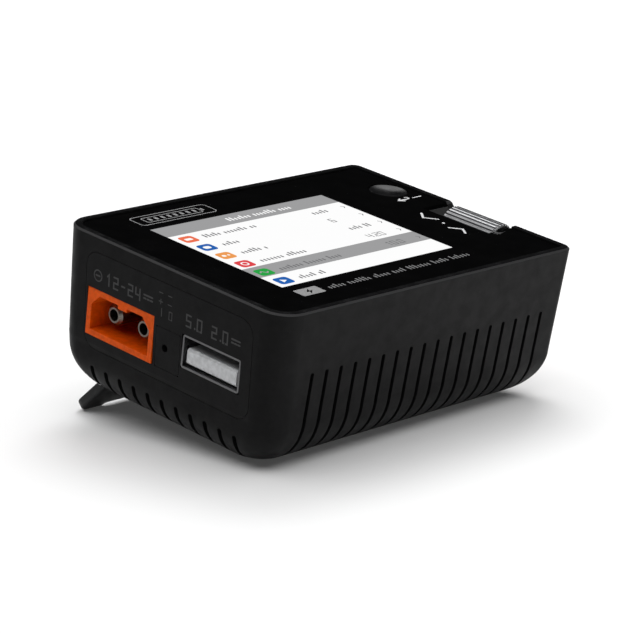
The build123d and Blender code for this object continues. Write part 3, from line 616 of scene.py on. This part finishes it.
def badge():
    """A solid badge with a bolt, and a line of ticks, along the front edge of the screen."""
    art = panel_artwork("panel_badge")
    centre, size = (-21.1, -18.2), (4.9, 2.7)
    bolt = [(0.45, 1.0), (-0.75, -0.15), (-0.1, -0.15), (-0.45, -1.0), (0.75, 0.15), (0.1, 0.15)]
    art.add(pill(centre, size, 0.25), [(centre[0] + dx, centre[1] + dy) for dx, dy in bolt])
    art.build(soft_ink, "case", "white_plastic")
    line = panel_artwork("panel_tagline")
    line.words(-17.1, -19.1, 33.0, 1.5, seed=3)
    line.build(faint_ink, "case", "white_plastic")


def button_mark():
    """A return arrow and a bar beside the exit button."""
    art = panel_artwork("button_mark")
    y, stroke = 7.2, 0.3
    art.line([(27.4, y + 0.62), (26.5, y), (27.4, y - 0.62)], stroke)
    art.line([(26.95, y), (28.9, y), *arc((28.9, y + 0.4), 0.4, -math.pi / 2, math.pi / 2)[1:]], stroke)
    art.line([(30.2, y), (32.2, y)], stroke)
    art.build(white_ink, "case", "white_plastic")


def wheel_marks():
    """Two arrowheads and a dot beside the wheel: turn either way, or press."""
    art = panel_artwork("wheel_marks")
    stroke = 0.42
    art.line([(25.2, -3.3), (23.4, -1.45), (25.0, 0.4)], stroke)
    art.add(circle((24.5, -5.2), 0.3))
    art.line([(23.45, -7.4), (25.1, -9.1), (23.85, -10.8)], stroke)
    art.build(white_ink, "case", "white_plastic")


emblem()
badge()
button_mark()
wheel_marks()


# ---- Screen ----
PIXEL_PITCH = 0.17


def lit(name, colour):
    """A lit area of the display: fine pixel rows, a little backlight drift, under a clear film."""
    shader = Shader(name, (0.01, 0.01, 0.01), 0.12, specular=0.3)
    grid = shader.maths("MULTIPLY", shader.waves(0, PIXEL_PITCH), shader.waves(1, PIXEL_PITCH))
    rows = shader.spread(grid, 0, 1, -0.9, 0.9)
    drift = shader.spread(shader.noise(14.0, 1.0), 0, 1)
    dimmed = tuple(c * 0.94 for c in colour)
    faded = tuple(c * 0.97 for c in colour)
    shader.give("Emission Color", shader.mix(drift, shader.mix(rows, dimmed, colour), faded))
    shader.give("Emission Strength", 1.0)
    return shader.material


SCREEN_WHITE = (1.0, 1.0, 1.0)
SCREEN_GREY = (0.34, 0.34, 0.345)
TEXT_GREY = (0.16, 0.16, 0.165)
ICON_COLOURS = {
    "coral": (0.85, 0.16, 0.07),
    "blue": (0.004, 0.11, 0.44),
    "amber": (0.86, 0.33, 0.08),
    "red": (0.74, 0.05, 0.06),
    "green": (0.01, 0.36, 0.05),
}

pane_top = node_span("lcd_glass")[2][1]
pane = node_span("lcd_glass", lambda point: point.z > pane_top - 0.01)
SCREEN_ROWS = 7
row_pitch = (pane[1][1] - pane[1][0]) / SCREEN_ROWS
LAYER = 0.012
ICON_SIZE = 3.0
# how far from the screen's left edge the icons and the labels start, and from its right edge the rest
ICON_IN, LABEL_IN, VALUE_OUT, ARROW_OUT = 2.55, 5.9, 8.9, 1.05
SCREEN_TEXT_HEIGHT = 1.5


def screen_layer(name, level):
    """Artwork on the display, at one of the levels stacked on the glass."""
    return Artwork(name, placed(0, 0, pane_top + level * LAYER), RIGHT, BACK, LAYER)


def row_centre(row):
    return pane[1][1] - (row + 0.5) * row_pitch


def screen_ground():
    """The white ground, and the header and highlighted row on it."""
    margin = 0.02
    x = (pane[0][0] + margin, pane[0][1] - margin)
    y = (pane[1][0] + margin, pane[1][1] - margin)
    ground = screen_layer("screen_ground", 0)
    ground.add([(x[0], y[0]), (x[1], y[0]), (x[1], y[1]), (x[0], y[1])])
    ground.build(lit("screen_white", SCREEN_WHITE), "case", "display")
    bars = screen_layer("screen_bars", 1)
    for row, raise_by in ((0, 0.0), (5, 0.35)):
        high = min(row_centre(row) + row_pitch / 2 + raise_by, y[1])
        low = high - row_pitch + 0.15
        bars.add([(x[0], low), (x[1], low), (x[1], high), (x[0], high)])
    bars.build(lit("screen_grey", SCREEN_GREY), "case", "display")


def screen_icons():
    """Six rounded tiles, each with its own plain sign cut out of it."""
    x = pane[0][0] + ICON_IN
    wave = ((-0.8, 0.0), (-0.3, 0.45), (0.3, -0.45), (0.8, 0.0))
    signs = {
        1: ("coral", lambda y: [pill((x, y), (1.5, 0.9), 0.2)]),
        2: ("blue", lambda y: [pill((x, y), (1.5, 1.1), 0.45)]),
        3: ("amber", lambda y: [circle((x - 0.4, y), 0.42), circle((x + 0.6, y), 0.28)]),
        4: ("red", lambda y: [circle((x, y), 0.75), circle((x, y), 0.45)]),
        5: ("green", lambda y: [band([(x + dx, y + dy) for dx, dy in wave], 0.3)]),
        6: ("blue", lambda y: [[(x - 0.45, y - 0.65), (x + 0.7, y), (x - 0.45, y + 0.65)]]),
    }
    tiles = {}
    for row, (colour, sign) in signs.items():
        y = row_centre(row)
        tiles.setdefault(colour, screen_layer("screen_tiles_" + colour, 2))
        tiles[colour].add(pill((x, y), (ICON_SIZE, ICON_SIZE * 0.92), 0.65), *sign(y))
    for colour, art in tiles.items():
        art.build(lit("screen_" + colour, ICON_COLOURS[colour]), "case", "display")


def screen_text():
    """Ticks in place of words, numbers where the screen shows numbers, and the row arrows."""
    dark, light = screen_layer("screen_text", 2), screen_layer("screen_title", 2)
    start = pane[0][0] + LABEL_IN
    drop = SCREEN_TEXT_HEIGHT / 2
    stroke = 0.17
    light.words(-8.4, row_centre(0) - drop, 14.5, SCREEN_TEXT_HEIGHT, seed=11)
    label_lengths = {1: 11.6, 2: 4.7, 3: 5.8, 4: 11.4, 5: 14.2, 6: 5.7}
    for row, length in label_lengths.items():
        dark.words(start, row_centre(row) - drop, length, SCREEN_TEXT_HEIGHT, seed=20 + row)
    value_x = pane[0][1] - VALUE_OUT
    values = {2: "6", 4: "4.20", 5: "10.0"}
    for row, text in values.items():
        dark.digits(text, (value_x, row_centre(row) - drop), SCREEN_TEXT_HEIGHT, stroke)
    for row, length in ((1, 3.6), (3, 5.4)):
        dark.words(value_x, row_centre(row) - drop, length, SCREEN_TEXT_HEIGHT, seed=40 + row)
    tip = pane[0][1] - ARROW_OUT
    for row in range(1, 6):
        y = row_centre(row)
        dark.line([(tip - 0.4, y + 0.5), (tip, y), (tip - 0.4, y - 0.5)], stroke)
    dark.build(lit("screen_ink", TEXT_GREY), "case", "display")
    light.build(lit("screen_title_ink", SCREEN_WHITE), "case", "display")


screen_ground()
screen_icons()
screen_text()


# ---- Wall artwork ----
STRAIGHT_FROM = 12.0  # the walls are flat above this height


def wall_artwork(name, node, side):
    """Artwork on the outer face of a port plate; its own x runs to the reader's right."""
    points = [on_device(vertex.co) for vertex in frame["nodes"][node].data.vertices]
    face = [p for p in points if p.x * side > max(q.x * side for q in points) - 1.0]
    straight = [p for p in face if p.z > STRAIGHT_FROM]
    high, low = max(straight, key=lambda p: p.z), min(straight, key=lambda p: p.z)
    slope = (high.x - low.x) / (high.z - low.z)
    upward = (AXES @ Vector((slope, 0, 1))).normalized()
    across = BACK * side
    base = Vector((high.x - slope * high.z + side * PRINT_LIFT, 0, 0))
    return Artwork(name, placed(*base), across, upward)


def direct_current_sign(art, x, y, width, stroke):
    """The sign for direct current: a line over three dashes."""
    art.line([(x, y + 0.4), (x + width, y + 0.4)], stroke)
    dash = width * 0.22
    for step in range(3):
        start = x + step * (width - dash) / 2
        art.line([(start, y - 0.2), (start + dash, y - 0.2)], stroke)


def polarity_marks(art, x, y, stroke):
    """Small signs in two rows: all are minus signs but the plus sign at the lower left."""
    arm, clear, column, row = 0.4, 0.12, 2.1, -1.5
    for dx, dy in ((0, 0), (column, 0), (0, row), (column, row)):
        art.line([(x + dx - arm, y + dy), (x + dx + arm, y + dy)], stroke)
        if (dx, dy) == (0, row):
            art.line([(x + dx, y + dy + clear), (x + dx, y + dy + arm)], stroke)
            art.line([(x + dx, y + dy - clear), (x + dx, y + dy - arm)], stroke)


def left_wall_marks():
    """Signs and numbers above the power inlet and the USB socket."""
    # seen from outside the reader's right is towards the front, so x here is -y of the device
    art = wall_artwork("left_wall_marks", "left_port_plate", -1)
    height, stroke, gap = 1.9, 0.3, 0.2
    middle = height / 2
    inlet_x, inlet_z = -17.5, 20.65
    sign = (inlet_x + 0.9, inlet_z + middle)
    art.add(circle(sign, 1.05), circle(sign, 0.82))
    art.line([(sign[0] - 0.45, sign[1]), (sign[0] + 0.45, sign[1])], stroke)
    end = art.digits("12-24", (inlet_x + 3.0, inlet_z), height, stroke)
    direct_current_sign(art, end + gap, inlet_z + middle, 2.0, stroke)
    usb_x, usb_z = 4.6, 20.0
    end = art.digits("5.0", (usb_x, usb_z), height, stroke)
    end = art.digits("2.0", (end + 1.6, usb_z), height, stroke)
    direct_current_sign(art, end + gap, usb_z + middle, 1.8, stroke)
    art.build(wall_ink, "case", "white_plastic")
    small = wall_artwork("left_wall_signs", "left_port_plate", -1)
    thin, small_z, small_height = 0.16, 19.7, 1.3
    polarity_marks(small, -1.5, 23.6, thin)
    small.digits("0", (0.55, small_z), small_height, thin)
    small.line([(-1.2, small_z), (-1.2, small_z + small_height)], thin)
    small.build(wall_ink, "case", "white_plastic")


left_wall_marks()

# ---- Studio ----
FLOOR_RADIUS = 2.2
BACKDROP_HEIGHT = 1.6
STAGE_SEGMENTS = 96
STAGE_SHADE = (0.79, 0.79, 0.79)
STAGE_GLOW = {"floor": 0.05, "backdrop": 0.9}
CARD_X, CARD_Y, CARD_HEIGHT = (-0.4, -0.045), (-0.05, 0.4), 0.0006
CARD_SHADE, CARD_GLOW = (0.02, 0.02, 0.02), 0.5
SKY_RAMP = {"From Min": 0.55, "From Max": 0.8, "To Min": 0.006, "To Max": 2.0}
KEY_PLACE, KEY_AIM, KEY_SIZE, KEY_WATTS = (0.45, 0.35, 0.75), (0, 0, 0.02), (0.5, 0.5), 3.0


def studio_surface(name, colour, glow):
    """A matt surface that gives off a little light of its own."""
    shader = Shader(name, colour, 0.9, specular=0.1)
    shader.mottle(300.0, 0.01)
    shader.give("Emission Color", (1.0, 1.0, 1.0, 1.0))
    shader.give("Emission Strength", glow)
    return shader.material


def studio():
    """A round pale floor, and a pale wall around its edge that lights and reflects in nothing."""
    for name, make in (("floor", bmesh.ops.create_circle), ("backdrop", bmesh.ops.create_cone)):
        shape = bmesh.new()
        if name == "floor":
            make(shape, cap_ends=True, segments=STAGE_SEGMENTS, radius=FLOOR_RADIUS)
        else:
            make(shape, cap_ends=False, segments=STAGE_SEGMENTS, radius1=FLOOR_RADIUS,
                 radius2=FLOOR_RADIUS, depth=BACKDROP_HEIGHT,
                 matrix=Matrix.Translation((0, 0, BACKDROP_HEIGHT / 2)))
        mesh = bpy.data.meshes.new(name)
        shape.to_mesh(mesh)
        shape.free()
        stage = scene_object(name, mesh)
        mesh.materials.append(studio_surface(name, STAGE_SHADE, STAGE_GLOW[name]))
        if name == "backdrop":
            stage.visible_glossy = False
            stage.visible_diffuse = False
            stage.visible_shadow = False


def grey_card():
    """A grey card on the floor beside the left wall, seen only in reflections."""
    (x0, x1), (y0, y1) = CARD_X, CARD_Y
    corners = [(x, y, CARD_HEIGHT) for x, y in ((x0, y0), (x1, y0), (x1, y1), (x0, y1))]
    mesh = bpy.data.meshes.new("grey_card")
    mesh.from_pydata(corners, [], [(0, 1, 2, 3)])
    mesh.materials.append(studio_surface("grey_card", CARD_SHADE, CARD_GLOW))
    card = scene_object("grey_card", mesh)
    for ray in ("camera", "diffuse", "shadow", "transmission"):
        setattr(card, "visible_" + ray, False)


def sky():
    """Soft light from overhead that fades out towards the horizon."""
    world = bpy.data.worlds.new("studio_light")
    bpy.context.scene.world = world
    world.use_nodes = True
    nodes, links = world.node_tree.nodes, world.node_tree.links
    direction = nodes.new("ShaderNodeTexCoord")
    height = nodes.new("ShaderNodeSeparateXYZ")
    fade = nodes.new("ShaderNodeMapRange")
    fade.interpolation_type = "SMOOTHSTEP"
    for socket, number in SKY_RAMP.items():
        fade.inputs[socket].default_value = number
    links.new(direction.outputs["Generated"], height.inputs["Vector"])
    links.new(height.outputs["Z"], fade.inputs["Value"])
    nodes["Background"].inputs["Color"].default_value = (1.0, 1.0, 1.0, 1.0)
    links.new(fade.outputs["Result"], nodes["Background"].inputs["Strength"])


def aim_at(seer, place, target):
    """Puts a lamp or a camera at a place and turns it to a target."""
    seer.location = place
    seer.rotation_euler = (Vector(target) - Vector(place)).to_track_quat("-Z", "Y").to_euler()


def key_light():
    """A soft light high on the right, behind the charger."""
    light = bpy.data.lights.new("key_light", "AREA")
    light.shape = "RECTANGLE"
    light.size, light.size_y = KEY_SIZE
    light.energy = KEY_WATTS
    aim_at(scene_object("key_light", light), KEY_PLACE, KEY_AIM)


EYE_POINT, AIM_POINT = (-306.69, -282.39, 164.95), (-2.96, -3.59, 15.47)
FOCAL_LENGTH, SENSOR_WIDTH = 150.77, 36.0


def camera():
    """A long lens at the front left of the charger, a little above it."""
    lens = bpy.data.cameras.new("camera")
    lens.lens = FOCAL_LENGTH
    lens.sensor_width = SENSOR_WIDTH
    lens.clip_start = 0.01
    eye = scene_object("camera", lens)
    aim_at(eye, placed(*EYE_POINT), placed(*AIM_POINT))
    bpy.context.scene.camera = eye


studio()
grey_card()
sky()
key_light()
camera()
bpy.context.scene.view_settings.view_transform = "Standard"
